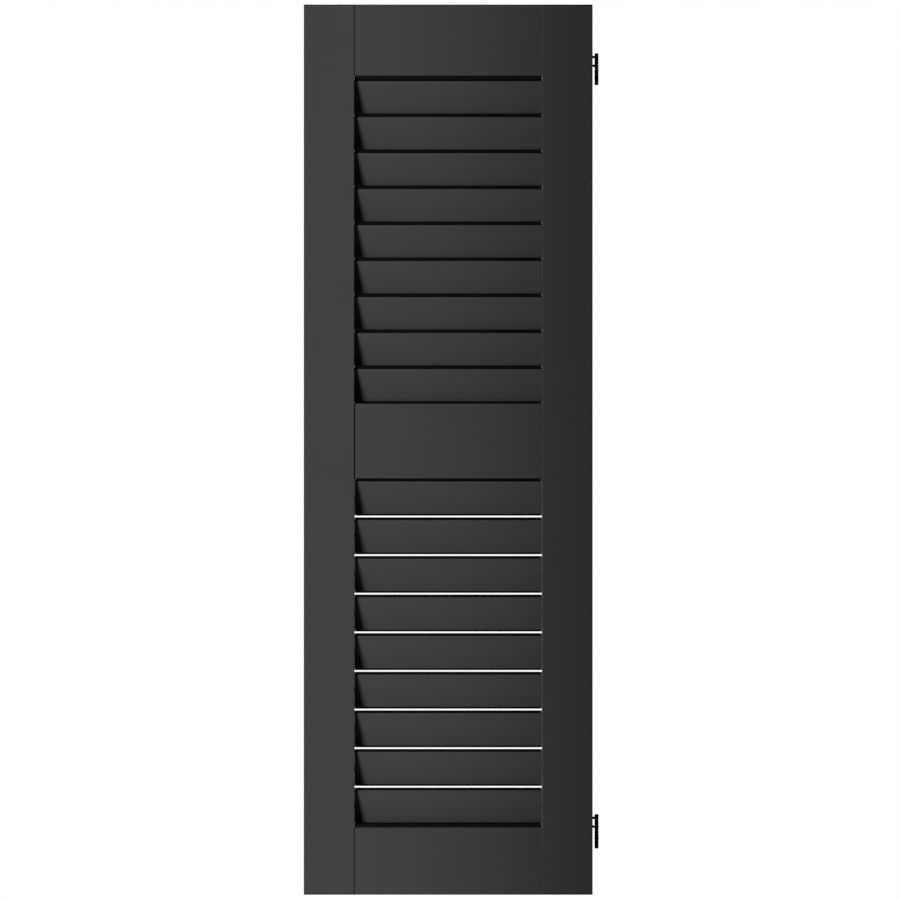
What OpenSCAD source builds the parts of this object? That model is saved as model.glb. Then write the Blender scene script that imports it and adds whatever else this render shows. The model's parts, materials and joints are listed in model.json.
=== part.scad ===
// Hinged louvred shutter leaf in aluminium, with two drill-in hinges on its right-hand edge.
// The upper bank of louvres is fixed. The lower bank turns, and a link inside the left stile
// couples its louvres. The origin is where the lower hinge's stem enters the wall, straight behind
// the hinge axis. +Z is up, +Y points into the wall, and the leaf lies on the -X side. Sizes in mm.

/* [Leaf] */
// Width of the leaf
leaf_w = 462; // [380:1:620]
// Height of the leaf
leaf_h = 1424; // [1150:1:1800]
// Width of each stile
stile_w = 81; // [72:1:110]
// Wall of the stile profile
stile_wall = 2; // [1.5:0.1:3]
// Radius of the long outer edges of stiles and rails
arris = 1.5; // [0.5:0.1:1.9]
// Thickness of the plastic cap on each stile end
cap_t = 2; // [1:0.5:4]
// Depth of a cap's spigot inside the stile
spigot_h = 12; // [6:1:20]

/* [Rails] */
// Height of the top rail
top_rail_h = 114; // [84:1:150]
// Height of the middle rail, over its lips
mid_rail_h = 120; // [92:1:150]
// Height of the bottom rail
bottom_rail_h = 108; // [84:1:150]
// Wall of the rail profiles
rail_wall = 2; // [1.5:0.1:3]
// Setback of the top and bottom rails from the stile faces
end_recess = 2; // [0.5:0.1:3]
// Setback of the middle rail from the stile faces
mid_recess = 3.5; // [0.5:0.1:4.5]
// Height of the middle rail's lips, above and below its body
mid_lip = 4; // [1:0.1:5]

/* [Louvres] */
// Number of fixed louvres in the upper bank
upper_count = 9; // [9:1:9]
// Number of turning louvres in the lower bank
lower_count = 9; // [9:1:9]
// Lean of the louvres from the vertical at rest, top edge forward
tilt = 23.6; // [15:0.1:30]
// Height that neighbouring upper louvres overlap by, seen square on
sight_lap = 2.2; // [1:0.1:4]
// Extra pitch of the lower bank
vent = 4.2; // [1:0.1:6]
// Thickness of a louvre
louvre_t = 6; // [5:0.1:9]
// Wall of the louvre profile
louvre_wall = 1.4; // [1:0.1:1.8]
// Depth of the solid edge that holds the seal groove
louvre_edge = 4.6; // [4:0.1:7]
// Radius of the louvre's long edges
louvre_arris = 1.2; // [0.4:0.1:1.4]
// Gap between a turning louvre's end plug and the stile
end_gap = 0.05; // [0.05:0.05:1]
// Clearance between the louvres' swing and the rails
swing_gap = 1.7; // [1:0.1:5]

/* [Seals] */
// Thickness of the lip seals
lip_t = 2; // [1.5:0.1:2.4]
// Height that a lip stands out of the louvre's edge
lip_out = 3.9; // [2:0.1:5]
// Depth of the seal groove
lip_in = 3; // [2:0.1:3.4]
// Thickness of the seal strips on the rails
rail_seal_t = 2; // [1.5:0.1:3]
// Height that a rail seal and a louvre's lip overlap by, seen square on
rail_seal_lap = 1; // [0.3:0.1:2]
// Width of the rail seal's tongue
tongue_w = 1.2; // [0.8:0.1:1.4]
// Depth of the groove for the rail seal's tongue
tongue_h = 1.2; // [0.6:0.1:1.4]
// Gap at each end of a seal
seal_end = 0.1; // [0.05:0.05:1]

/* [Side strips] */
// Thickness of the flange behind the stile's slot
flange_t = 3; // [2:0.5:5]
// Width of the flange on each side of the slot
flange_w = 3; // [2:0.5:5]
// Land left on each side of a fixed louvre's opening
strip_land = 3; // [2:0.5:5]
// Gap between the flange and the stile's front and back walls
flange_side = 3; // [1:0.5:6]
// Length of each strip behind a rail's end
strip_over = 8; // [3:1:12]
// Reach of a fixed louvre past its strip
louvre_hold = 2; // [1:0.5:5]

/* [Tilt mechanism] */
// Diameter of a louvre's pivot
pivot_d = 6; // [5:0.5:8]
// Length of a pivot plug inside the louvre
plug_len = 20; // [10:1:30]
// Thickness of a pivot plug's cap
plug_cap = 1.5; // [1:0.5:3]
// Side of the square that drives the crank
drive_w = 4; // [3:0.1:4.2]
// Thickness of the crank
crank_t = 4; // [3:0.5:6]
// Throw of the crank
crank_r = 10; // [8:0.5:12]
// Diameter of the crank's hub
hub_d = 11; // [9:0.5:12]
// Width of the crank's arm
arm_w = 8; // [6:0.5:9]
// Diameter of the crank pin
crank_pin_d = 4; // [3:0.5:5]
// Thickness of the link
link_t = 3; // [2:0.5:4]
// Width of the link
link_w = 10; // [8:0.5:12]
// Thickness of the push-on washer on a crank pin
clip_t = 0.8; // [0.5:0.1:1.5]
// Diameter of the push-on washer
clip_d = 8; // [7:0.5:10]

/* [Frame joints] */
// Height of the clamp plate behind each rail end
clamp_h = 56; // [50:1:64]
// Thickness of the clamp plate behind the slot
clamp_t = 4; // [3:0.5:6]
// Diameter of the joint screws
screw_d = 5; // [4:0.5:6]
// Distance between the two screws of a joint
screw_pitch = 32; // [24:1:36]
// Length of a screw in its rail
screw_grip = 34; // [20:1:60]
// Diameter of the screw head
head_d = 9; // [8:0.5:11]
// Height of the screw head
head_h = 3.6; // [2:0.1:5]
// Wall around a rail's screw port
port_wall = 2; // [1.5:0.1:3]
// Diameter of the access hole over each screw
access_d = 12; // [11.5:0.5:16]
// Width of the rim that holds a plug in its hole
plug_rim = 0.6; // [0.3:0.1:1]

/* [Hinges] */
// Diameter of the hinge barrels
barrel_d = 6.4; // [5.6:0.1:9]
// Gap between a barrel and the leaf's edge
hinge_gap = 3.1; // [2:0.1:6]
// Height of the eye on the leaf
eye_h = 26; // [24:1:40]
// Height of the upper hinge's fixed knuckle
top_knuckle_h = 24; // [20:1:40]
// Height of the lower hinge's fixed knuckle
bottom_knuckle_h = 28; // [20:1:40]
// Distance from the top rail's lower screw to the upper hinge
top_hinge_clear = 5; // [5:1:100]
// Distance from the bottom rail's upper screw to the lower hinge
bottom_hinge_clear = 4; // [4:1:100]
// Diameter of the pintle's spindle
spindle_d = 3.4; // [2.6:0.1:3.6]
// Height of the spindle above its knuckle
spindle_h = 22; // [15:1:22]
// Thickness of the washer between the knuckles
washer_t = 1; // [0.5:0.1:2]
// Diameter of the dowels on the eye
dowel_d = 4; // [4:0.5:5.5]
// Distance between the dowels
dowel_pitch = 14; // [12:1:16]
// Length of a dowel inside the leaf
dowel_len = 30; // [20:1:40]
// Height of an anchor block inside the stile
anchor_h = 22; // [21:1:22]
// Depth of metal past the blind end of a dowel
anchor_end = 4; // [2:1:10]
// Diameter of the wall stem
stem_d = 6; // [5:0.5:6.2]
// Distance from the knuckle's top to the stem's axis
stem_drop = 12; // [8:1:16]
// Length of the stem in the wall
stem_len = 60; // [40:1:120]
// Diameter of the stem's neck, which ends in a shoulder at the wall
neck_d = 7; // [6.8:0.1:10]
// Clearance between an open louvre and the wall
wall_clear = 9; // [5:1:30]
// Height of the turned groove above a knuckle's lower end
ring_in = 3.5; // [2:0.5:6]
// Width of the turned groove
ring_w = 1.2; // [0.5:0.1:2]
// Depth of the turned groove
ring_d = 0.4; // [0.2:0.1:0.6]

/* [Fits] */
// Radial clearance of everything that turns
run_fit = 0.08; // [0.03:0.01:0.1]
// Clearance on each side of what slides in or plugs in
slide_fit = 0.2; // [0.1:0.05:0.4]
// Clearance on each side of a seal or a driven square
snug_fit = 0.05; // [0.02:0.01:0.1]
// End clearance between moving faces
face_gap = 0.3; // [0.2:0.1:0.8]

/* [Hidden] */
$fn = 48;
over = 1;      // how far a cut runs past what it cuts

// Louvre pitch, from the height of the leaf. Half a louvre's depth is (pitch + lap_more) / 2 cos(tilt).
lap_more = sight_lap - lip_t * sin(tilt);
gaps = upper_count + lower_count - 2;
rails_h = top_rail_h + mid_rail_h + bottom_rail_h - 2 * mid_lip;
upper_pitch = (leaf_h - rails_h - 4 * swing_gap - (lower_count - 1) * vent - 2 * lap_more / cos(tilt))
    / (gaps + 2 / cos(tilt));
lower_pitch = upper_pitch + vent;
swing_r = (upper_pitch + lap_more) / cos(tilt) / 2;
chord = 2 * (swing_r - lip_out);                                          // metal width of a louvre
louvre_depth = chord / 2 * sin(tilt) + louvre_t / 2 * cos(tilt);          // half its depth, front to back
tip_rise = swing_r * cos(tilt) + lip_t / 2 * sin(tilt);                   // a lip's tip above its pivot

// Slot along each stile, the strips in it and the thickness of the leaf
slot_w = 2 * (louvre_depth + strip_land);
flange_full = slot_w + 2 * flange_w;
leaf_t = flange_full + 2 * (flange_side + stile_wall);
strip_t = stile_wall + flange_t;

// Across the leaf
axis_in = barrel_d / 2 + hinge_gap;
leaf_right = -axis_in;
leaf_left = leaf_right - leaf_w;
open_left = leaf_left + stile_w;
open_right = leaf_right - stile_w;
open_w = open_right - open_left;
open_mid = (open_left + open_right) / 2;
lower_blade_w = open_w - 2 * (end_gap + plug_cap);

// Up the leaf
bottom_hinge_in = (bottom_rail_h + screw_pitch) / 2 + bottom_hinge_clear;
top_hinge_in = (top_rail_h + screw_pitch) / 2 + top_hinge_clear;
leaf_base = -(bottom_hinge_in + bottom_knuckle_h - stem_drop);
leaf_top = leaf_base + leaf_h;
rail_to_pivot = swing_r + swing_gap;
lower_base = leaf_base + bottom_rail_h;
lower_pivot_z = lower_base + rail_to_pivot;                               // lowest turning louvre
lower_top = lower_pivot_z + (lower_count - 1) * lower_pitch + rail_to_pivot;
upper_base = lower_top + mid_rail_h - 2 * mid_lip;
upper_pivot_z = upper_base + rail_to_pivot;                               // lowest fixed louvre
upper_top = leaf_top - top_rail_h;
rail_mids = [leaf_base + bottom_rail_h / 2, (lower_top + upper_base) / 2, leaf_top - top_rail_h / 2];
screw_zs = [for (z = rail_mids, s = [-1, 1]) z + s * screw_pitch / 2];

// Rails
end_rail_d = leaf_t - 2 * end_recess;
mid_rail_d = leaf_t - 2 * mid_recess;
rail_seal_y = -(mid_rail_d / 2 - rail_wall - rail_seal_t / 2);
rail_seal_h = rail_to_pivot - tip_rise + rail_seal_lap;

// Hinges
eye_z = [leaf_base + bottom_hinge_in + bottom_knuckle_h + washer_t, leaf_top - top_hinge_in - eye_h];
top_stem_z = eye_z[1] - washer_t - stem_drop;
wall_y = swing_r + wall_clear;                                            // from the hinge axis
stem_end = wall_y + stem_len;

anthracite = "#3f4043";
black = "#1a1a1c";
zinc = "#b9bcc0";

// ---- shared shapes ----

// Rectangle with round corners, about its centre
module round_rect(w, h, r) {
    square([w - 2 * r, h], center = true);
    square([w, h - 2 * r], center = true);
    for (x = [-1, 1], y = [-1, 1])
        translate([x * (w / 2 - r), y * (h / 2 - r)]) circle(r = r);
}

// Extrusion along X, about its middle, of an outline drawn in Y and Z
module along_x(length) {
    rotate([90, 0, 90]) linear_extrude(height = length, center = true) children();
}

// Cylinder along X, from one x to another
module rod_x(x0, x1, y, z, d) {
    translate([min(x0, x1), y, z]) rotate([0, 90, 0]) cylinder(d = d, h = abs(x1 - x0));
}

// Everything is drawn about the hinge axis, and this sets it in front of the wall
module hung() {
    translate([0, -wall_y, 0]) children();
}

// Something that leans as a louvre does at rest, on the pivot at height z
module leaned(z) {
    translate([0, 0, z]) rotate([tilt, 0, 0]) children();
}

function upper_z(i) = upper_pivot_z + (upper_count - i) * upper_pitch;    // louvre 1 is the top one
function lower_z(i) = lower_pivot_z + (lower_count - i) * lower_pitch;

// Side of the leaf: -1 is left and 1 is right. The slot's plane faces the opening.
function slot_x(side) = side < 0 ? open_left : open_right;
function outer_x(side) = side < 0 ? leaf_left : leaf_right;

// ---- stiles ----

module stile(side) {
    inner_w = stile_w - 2 * stile_wall;
    color(anthracite) difference() {
        translate([(slot_x(side) + outer_x(side)) / 2, 0, leaf_base + cap_t])
            linear_extrude(height = leaf_h - 2 * cap_t) difference() {
                round_rect(stile_w, leaf_t, arris);
                square([inner_w, leaf_t - 2 * stile_wall], center = true);
                translate([-side * (stile_w - stile_wall) / 2, 0])
                    square([stile_wall + 2 * over, slot_w], center = true);
            }
        for (z = screw_zs) side_hole(side, z, access_d);
        if (side > 0) for (e = eye_z, s = [-1, 1])
            side_hole(side, e + eye_h / 2 + s * dowel_pitch / 2, dowel_d + 2 * slide_fit);
    }
}

// Hole through a stile's outer wall
module side_hole(side, z, d) {
    rod_x(outer_x(side) + side * over, outer_x(side) - side * (stile_wall + over), 0, z, d);
}

module left_stile() { stile(-1); }

module right_stile() { stile(1); }

module stile_caps() {
    color(black) for (side = [-1, 1], end = [0, 1]) {
        translate([(slot_x(side) + outer_x(side)) / 2, 0, end ? leaf_top : leaf_base])
            mirror([0, 0, end]) stile_cap();
    }
}

module stile_cap() {
    fit_w = stile_w - 2 * (stile_wall + slide_fit);
    fit_t = leaf_t - 2 * (stile_wall + slide_fit);
    linear_extrude(height = cap_t) round_rect(stile_w, leaf_t, arris);
    linear_extrude(height = cap_t + spigot_h) difference() {
        square([fit_w, fit_t], center = true);
        square([fit_w - 2 * stile_wall, fit_t - 2 * stile_wall], center = true);
    }
}

// ---- rails ----

// Hollow rail outline with two screw ports on webs. lip is the height of its lips, and seals
// lists the edges with a seal groove: 1 is the upper edge and -1 the lower.
module rail_outline(depth, height, lip, seals) {
    body_h = height - 2 * lip;
    port_d = screw_d + 2 * snug_fit;
    difference() {
        round_rect(depth, height, arris);
        if (lip > 0) for (s = [-1, 1]) translate([0, s * (body_h + lip + over) / 2])
            square([depth - 2 * rail_wall, lip + over], center = true);
        difference() {
            square([depth - 2 * rail_wall, body_h - 2 * rail_wall], center = true);
            for (s = [-1, 1]) translate([0, s * screw_pitch / 2]) {
                square([depth, rail_wall], center = true);
                circle(d = port_d + 2 * port_wall);
            }
        }
        for (s = [-1, 1]) translate([0, s * screw_pitch / 2]) circle(d = port_d);
        for (s = seals) translate([rail_seal_y, s * (body_h / 2 - tongue_h / 2)])
            square([tongue_w + 2 * snug_fit, tongue_h], center = true);
    }
}

module rail(z, depth, height, lip, seals) {
    color(anthracite) translate([open_mid, 0, z])
        along_x(open_w) rail_outline(depth, height, lip, seals);
}

module top_rail() { rail(rail_mids[2], end_rail_d, top_rail_h, 0, [-1]); }

module mid_rail() { rail(rail_mids[1], mid_rail_d, mid_rail_h, mid_lip, [-1, 1]); }

module bottom_rail() { rail(rail_mids[0], end_rail_d, bottom_rail_h, 0, [1]); }

// Seal strips that close the sight line between the end louvres and the rails
module rail_seals() {
    color(black) for (edge = [[lower_base, 1], [lower_top, -1], [upper_base, 1], [upper_top, -1]])
        translate([open_mid, rail_seal_y, edge[0]]) along_x(open_w - 2 * seal_end) {
            translate([0, edge[1] * rail_seal_h / 2])
                square([rail_seal_t, rail_seal_h], center = true);
            translate([0, edge[1] * (over - tongue_h + snug_fit) / 2])
                square([tongue_w, tongue_h - snug_fit + over], center = true);
        }
}

// ---- frame joints ----

// Plate inside the stile, with a land through the slot that meets the rail's end
module clamp_plates() {
    color(zinc) for (side = [-1, 1], z = rail_mids) difference() {
        translate([slot_x(side), 0, z]) {
            translate([side * (stile_wall + clamp_t) / 2, 0, 0])
                cube([stile_wall + clamp_t, slot_w - 2 * slide_fit, clamp_h], center = true);
            translate([side * (stile_wall + clamp_t / 2), 0, 0])
                cube([clamp_t, flange_full, clamp_h], center = true);
        }
        for (s = [-1, 1])
            rod_x(slot_x(side) - side * over, slot_x(side) + side * (stile_wall + clamp_t + over),
                0, z + s * screw_pitch / 2, screw_d + 2 * slide_fit);
    }
}

module joint_screws() {
    color(zinc) for (side = [-1, 1], z = screw_zs) {
        head_x = slot_x(side) + side * (stile_wall + clamp_t);
        rod_x(slot_x(side) - side * screw_grip, head_x + side * head_h / 2, 0, z, screw_d);
        rod_x(head_x, head_x + side * head_h, 0, z, head_d);
    }
}

// Flush plugs in the access holes
module screw_plugs() {
    color(black) for (side = [-1, 1], z = screw_zs) {
        wall_x = outer_x(side) - side * stile_wall;
        rim_x = wall_x - side * 2 * plug_rim;
        rod_x(outer_x(side), rim_x, 0, z, access_d - 2 * snug_fit);
        rod_x(wall_x, rim_x, 0, z, access_d + 2 * plug_rim);
    }
}

// ---- side strips ----

// T-shaped strip that fills the stile's slot from z0 to z1
module strip(side, z0, z1) {
    translate([slot_x(side), 0, z0]) linear_extrude(height = z1 - z0) {
        translate([side * strip_t / 2, 0])
            square([strip_t, slot_w - 2 * slide_fit], center = true);
        translate([side * (stile_wall + flange_t / 2), 0])
            square([flange_t, flange_full], center = true);
    }
}

module holder_strip(side) {
    color(anthracite) difference() {
        strip(side, upper_base - strip_over, upper_top + strip_over);
        for (i = [1:upper_count]) leaned(upper_z(i)) translate([slot_x(side), 0, 0])
            along_x(2 * (strip_t + over))
                round_rect(louvre_t + 2 * slide_fit, chord + 2 * slide_fit, louvre_arris + slide_fit);
    }
}

module left_holder_strip() { holder_strip(-1); }

module right_holder_strip() { holder_strip(1); }

module bearing_strip(side) {
    color(anthracite) difference() {
        strip(side, lower_base - strip_over, lower_top + strip_over);
        for (i = [1:lower_count])
            rod_x(slot_x(side) - side * over, slot_x(side) + side * (strip_t + over),
                0, lower_z(i), pivot_d + 2 * run_fit);
    }
}

module left_bearing_strip() { bearing_strip(-1); }

module right_bearing_strip() { bearing_strip(1); }

// ---- louvres ----

// Hollow blade with a seal groove in each long edge
module blade(length) {
    color(anthracite) along_x(length) difference() {
        round_rect(louvre_t, chord, louvre_arris);
        square([louvre_t - 2 * louvre_wall, chord - 2 * louvre_edge], center = true);
        for (s = [-1, 1]) translate([0, s * (chord / 2 - (lip_in - over) / 2)])
            square([lip_t + 2 * snug_fit, lip_in + over], center = true);
    }
}

// The two lip seals of a blade, with round tips
module lips(blade_length) {
    color(black) along_x(blade_length - 2 * seal_end) lip_outline(chord / 2 - lip_in + snug_fit);
}

// Outline of the lips on both edges, from inner outwards
module lip_outline(inner) {
    tip = swing_r - lip_t / 2;
    for (s = [-1, 1]) {
        translate([0, s * (inner + tip) / 2]) square([lip_t, tip - inner], center = true);
        translate([0, s * tip]) circle(d = lip_t);
    }
}

module upper_louvre(i) {
    leaned(upper_z(i)) translate([open_mid, 0, 0]) blade(open_w + 2 * (strip_t + louvre_hold));
}

module upper_seals() {
    for (i = [1:upper_count]) leaned(upper_z(i)) translate([open_mid, 0, 0]) lips(open_w);
}

module lower_louvre(i) {
    leaned(lower_z(i)) translate([open_mid, 0, 0]) blade(lower_blade_w);
}

module louvre_seals(i) {
    leaned(lower_z(i)) translate([open_mid, 0, 0]) lips(lower_blade_w);
}

// ---- tilt mechanism ----

// Along the left stile, from the opening inwards: pivot shoulder, crank, link and washer
shoulder_x = open_left - strip_t - face_gap;
hub_x = shoulder_x - snug_fit;
crank_x = hub_x - crank_t;
link_x = crank_x - face_gap - link_t / 2;
clip_x = link_x - link_t / 2 - face_gap - clip_t / 2;
crank_pin_end = clip_x - clip_t / 2 - clip_t;

// Plug in one end of a turning louvre, with its pivot
module pivot_plug(side) {
    cap_x = slot_x(side) - side * end_gap;
    tenon = [louvre_t - 2 * (louvre_wall + snug_fit), chord - 2 * (louvre_edge + slide_fit)];
    translate([cap_x - side * plug_cap / 2, 0, 0]) along_x(plug_cap) {
        round_rect(louvre_t, chord, louvre_arris);
        lip_outline(chord / 2 - lip_in);
    }
    translate([cap_x - side * (plug_cap + plug_len) / 2, 0, 0])
        along_x(plug_cap + plug_len) square(tenon, center = true);
    rod_x(cap_x - side * plug_cap, slot_x(side) + side * (strip_t + face_gap), 0, 0, pivot_d);
}

// Crank on the left pivot's square. It points forward, square to the louvre.
module crank() {
    difference() {
        union() {
            rod_x(hub_x, crank_x, 0, 0, hub_d);
            translate([crank_x, -crank_r, -arm_w / 2]) cube([crank_t, crank_r, arm_w]);
            rod_x(hub_x, crank_x, -crank_r, 0, arm_w);
            rod_x(crank_x + over, crank_pin_end, -crank_r, 0, crank_pin_d);
        }
        translate([(hub_x + crank_x) / 2, 0, 0])
            cube([crank_t + 2 * over, drive_w + 2 * snug_fit, drive_w + 2 * snug_fit], center = true);
    }
}

module crank_clip() {
    difference() {
        rod_x(clip_x - clip_t / 2, clip_x + clip_t / 2, -crank_r, 0, clip_d);
        rod_x(clip_x - clip_t, clip_x + clip_t, -crank_r, 0, crank_pin_d + 2 * snug_fit);
    }
}

module louvre_pivots(i) {
    color(black) leaned(lower_z(i)) {
        union() {
            pivot_plug(-1);
            intersection() {
                rod_x(shoulder_x + over, crank_x, 0, 0, pivot_d);
                translate([shoulder_x, 0, 0])
                    cube([2 * (snug_fit + crank_t) + over, drive_w, drive_w], center = true);
            }
        }
        pivot_plug(1);
        crank();
        crank_clip();
    }
}

module tilt_link() {
    pin_y = -crank_r * cos(tilt);
    pin_rise = -crank_r * sin(tilt);
    run = lower_z(1) - lower_z(lower_count);
    color(zinc) translate([link_x, pin_y, lower_z(lower_count) + pin_rise]) along_x(link_t)
        difference() {
            union() {
                translate([0, run / 2]) square([link_w, run], center = true);
                for (z = [0, run]) translate([0, z]) circle(d = link_w);
            }
            for (i = [1:lower_count]) translate([0, lower_z(i) - lower_z(lower_count)])
                circle(d = crank_pin_d + 2 * run_fit);
        }
}

// ---- hinges ----

// Eye on the leaf: a barrel closed at its top, with two dowels into the stile
module hinge_eye(z) {
    color(zinc) difference() {
        union() {
            translate([0, 0, z + snug_fit]) cylinder(d = barrel_d, h = eye_h - snug_fit);
            for (s = [-1, 1])
                rod_x(leaf_right - stile_wall - dowel_len, 0, 0,
                    z + eye_h / 2 + s * dowel_pitch / 2, dowel_d);
        }
        translate([0, 0, z - over])
            cylinder(d = spindle_d + 2 * run_fit, h = spindle_h - washer_t + 2 * over);
    }
}

module top_hinge_eye() { hinge_eye(eye_z[1]); }

module bottom_hinge_eye() { hinge_eye(eye_z[0]); }

// Blocks inside the right stile that hold the eyes' dowels
module hinge_anchors() {
    length = dowel_len + anchor_end;
    right = leaf_right - stile_wall;
    color(zinc) for (z = eye_z) difference() {
        translate([right - length / 2, 0, z + eye_h / 2])
            cube([length, leaf_t - 2 * (stile_wall + slide_fit), anchor_h], center = true);
        for (s = [-1, 1])
            rod_x(right - dowel_len - face_gap, right + over, 0,
                z + eye_h / 2 + s * dowel_pitch / 2, dowel_d + 2 * snug_fit);
    }
}

module hinge_washers() {
    color(black) for (z = eye_z) translate([0, 0, z - washer_t]) difference() {
        cylinder(d = barrel_d, h = washer_t);
        translate([0, 0, -over]) cylinder(d = spindle_d + 2 * run_fit, h = washer_t + 2 * over);
    }
}

// Fixed knuckle with its spindle, and a shouldered stem into the wall. z is the stem's axis.
module pintle(z, knuckle_h) {
    color(zinc) translate([0, 0, z]) difference() {
        union() {
            translate([0, 0, stem_drop - knuckle_h]) cylinder(d = barrel_d, h = knuckle_h);
            translate([0, 0, stem_drop - over]) cylinder(d = spindle_d, h = spindle_h + over);
            rotate([-90, 0, 0]) cylinder(d = stem_d, h = stem_end);
            rotate([-90, 0, 0]) cylinder(d = neck_d, h = wall_y);
        }
        translate([0, 0, stem_drop - knuckle_h + ring_in]) difference() {
            cylinder(d = barrel_d + 2 * over, h = ring_w);
            translate([0, 0, -over]) cylinder(d = barrel_d - 2 * ring_d, h = ring_w + 2 * over);
        }
    }
}

module top_hinge_pintle() { pintle(top_stem_z, top_knuckle_h); }

module bottom_hinge_pintle() { pintle(0, bottom_knuckle_h); }

hung() left_stile();
hung() right_stile();
hung() top_rail();
hung() mid_rail();
hung() bottom_rail();
hung() stile_caps();
hung() clamp_plates();
hung() joint_screws();
hung() screw_plugs();
hung() rail_seals();
hung() left_holder_strip();
hung() right_holder_strip();
hung() left_bearing_strip();
hung() right_bearing_strip();
for (i = [1:upper_count])
    hung() upper_louvre(i);
hung() upper_seals();
for (i = [1:lower_count]) {
    hung() lower_louvre(i);
    hung() louvre_seals(i);
    hung() louvre_pivots(i);
}
hung() tilt_link();
hung() top_hinge_eye();
hung() bottom_hinge_eye();
hung() hinge_anchors();
hung() hinge_washers();
hung() top_hinge_pintle();
hung() bottom_hinge_pintle();
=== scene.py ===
# %% [markdown]
# # A louvred shutter leaf
# This script dresses a finished CAD model of an aluminium window shutter. The model gives every
# piece its size and place. Here each piece gets its finish, and the pieces whose fine form matters
# most, such as blades, rubber lips, screws and hinge pins, are modelled again with more detail.
# Everything is in metres, in the CAD model's own frame: +Z is up, +Y points at the wall behind the
# leaf, and the leaf's inner face looks along -Y.

# %% Load the frame
import json
import math

import bmesh
import bpy
from mathutils import Matrix, Vector
from mathutils.geometry import tessellate_polygon


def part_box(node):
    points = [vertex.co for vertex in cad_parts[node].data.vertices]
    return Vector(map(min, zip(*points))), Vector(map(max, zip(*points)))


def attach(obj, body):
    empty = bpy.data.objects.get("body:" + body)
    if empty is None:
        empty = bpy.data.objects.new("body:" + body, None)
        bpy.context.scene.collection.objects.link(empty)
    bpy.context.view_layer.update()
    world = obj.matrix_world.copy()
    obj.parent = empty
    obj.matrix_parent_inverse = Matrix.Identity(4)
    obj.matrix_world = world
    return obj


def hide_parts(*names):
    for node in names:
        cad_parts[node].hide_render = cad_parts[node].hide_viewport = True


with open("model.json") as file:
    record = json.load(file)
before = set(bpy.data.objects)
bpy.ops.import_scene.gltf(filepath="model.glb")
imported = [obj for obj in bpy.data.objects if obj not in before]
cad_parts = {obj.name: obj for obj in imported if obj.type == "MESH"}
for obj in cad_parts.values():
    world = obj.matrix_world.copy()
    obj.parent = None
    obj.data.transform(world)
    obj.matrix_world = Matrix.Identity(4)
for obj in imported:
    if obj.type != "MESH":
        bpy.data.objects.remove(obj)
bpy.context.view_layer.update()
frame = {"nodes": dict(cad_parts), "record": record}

record = frame["record"]
slot_of = {part["node"]: part["material_slot"] for part in record["subparts"]}

# %% [markdown]
# ## Measuring the frame
# Places could be typed in, but then they would go wrong as soon as the model changed. So they are
# read from the boxes of the CAD nodes, and only the sizes that a box can't show, such as the wall
# of a profile, are named here, once each.

# %% Places read from the frame
MM = 0.001


def middle(node):
    low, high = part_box(node)
    return (low + high) / 2


def extent(node):
    low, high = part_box(node)
    return high - low


bank = 9                                    # louvres in each bank
upper = [f"upper_louvre_{i}" for i in range(1, bank + 1)]
lower = [f"lower_louvre_{i}" for i in range(1, bank + 1)]
leaf_low, leaf_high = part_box("stile_caps")
leaf_mid = (leaf_low + leaf_high) / 2
leaf_y = leaf_mid.y                         # the middle of its thickness
open_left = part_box("left_stile")[1].x
open_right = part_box("right_stile")[0].x
open_mid = (open_left + open_right) / 2
print("leaf", [round(v, 4) for v in leaf_high - leaf_low])
print("opening", round(open_right - open_left, 4), "m wide")

# %% Sizes of the blades and their lips
lean = math.radians(23.6)                   # from the vertical, top edge forward
blade_thick = 6 * MM
blade_wall = 1.4 * MM
blade_edge = 4.6 * MM                       # solid metal around each seal groove
blade_arris = 1.2 * MM
lip_thick = 2 * MM
lip_root = 3 * MM                           # the part of a lip that sits in its groove
slack = 0.05 * MM                           # between a seal and its groove

# A leaning blade's box shows the width of the blade, and the box of its lips shows their reach.
core_tall = extent(upper[0]).z - 2 * blade_arris
core_thick = blade_thick - 2 * blade_arris
blade_width = (core_tall - core_thick * math.sin(lean)) / math.cos(lean) + 2 * blade_arris
lip_reach = (extent("louvre_seals_1").z - lip_thick) / 2 / math.cos(lean) + lip_thick / 2
print("blade", round(blade_width / MM, 2), "mm wide; lips reach", round(lip_reach / MM, 2), "mm")

# %% [markdown]
# ## The camera
# A lens close to the leaf would look up into some gaps and down into others. A leaf like this is
# better drawn square on, as an elevation: an orthographic camera shows no perspective, so every gap
# between the louvres looks the same. The view is a little taller than the leaf.

# %% Camera
view_height = 1.4396                        # height and width of the view
view_centre = Vector((-0.2344, leaf_y, 0.6214))
camera_back = 4.0
camera_data = bpy.data.cameras.new("elevation_camera")
camera_data.type = "ORTHO"
camera_data.ortho_scale = view_height
camera = bpy.data.objects.new("elevation_camera", camera_data)
camera.location = view_centre - Vector((0, camera_back, 0))
camera.rotation_euler = (math.radians(90), 0, 0)
bpy.context.scene.collection.objects.link(camera)
bpy.context.scene.camera = camera
bpy.context.scene.view_settings.view_transform = "Standard"
print("camera covers", view_height, "m")

# %% [markdown]
# ## Light
# A bright sky or a wide soft box would light the leaf too, but both wash out shadows. Here one tall
# strip box stands on the left, level with the leaf, with a grid over its front that narrows the
# beam. It gives three things at once: a frame that darkens gently from left to right, thin black
# lines under the lips, and a black wedge on each louvre beside the left stile. Nothing fills in
# from the right, so those wedges stay black. The two lamps behind the leaf only serve the views of
# its back.
#
# The world is white where the camera looks past the leaf, and nearly black for everything that it
# lights, as in a studio with a bright backdrop far behind the object.

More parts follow.
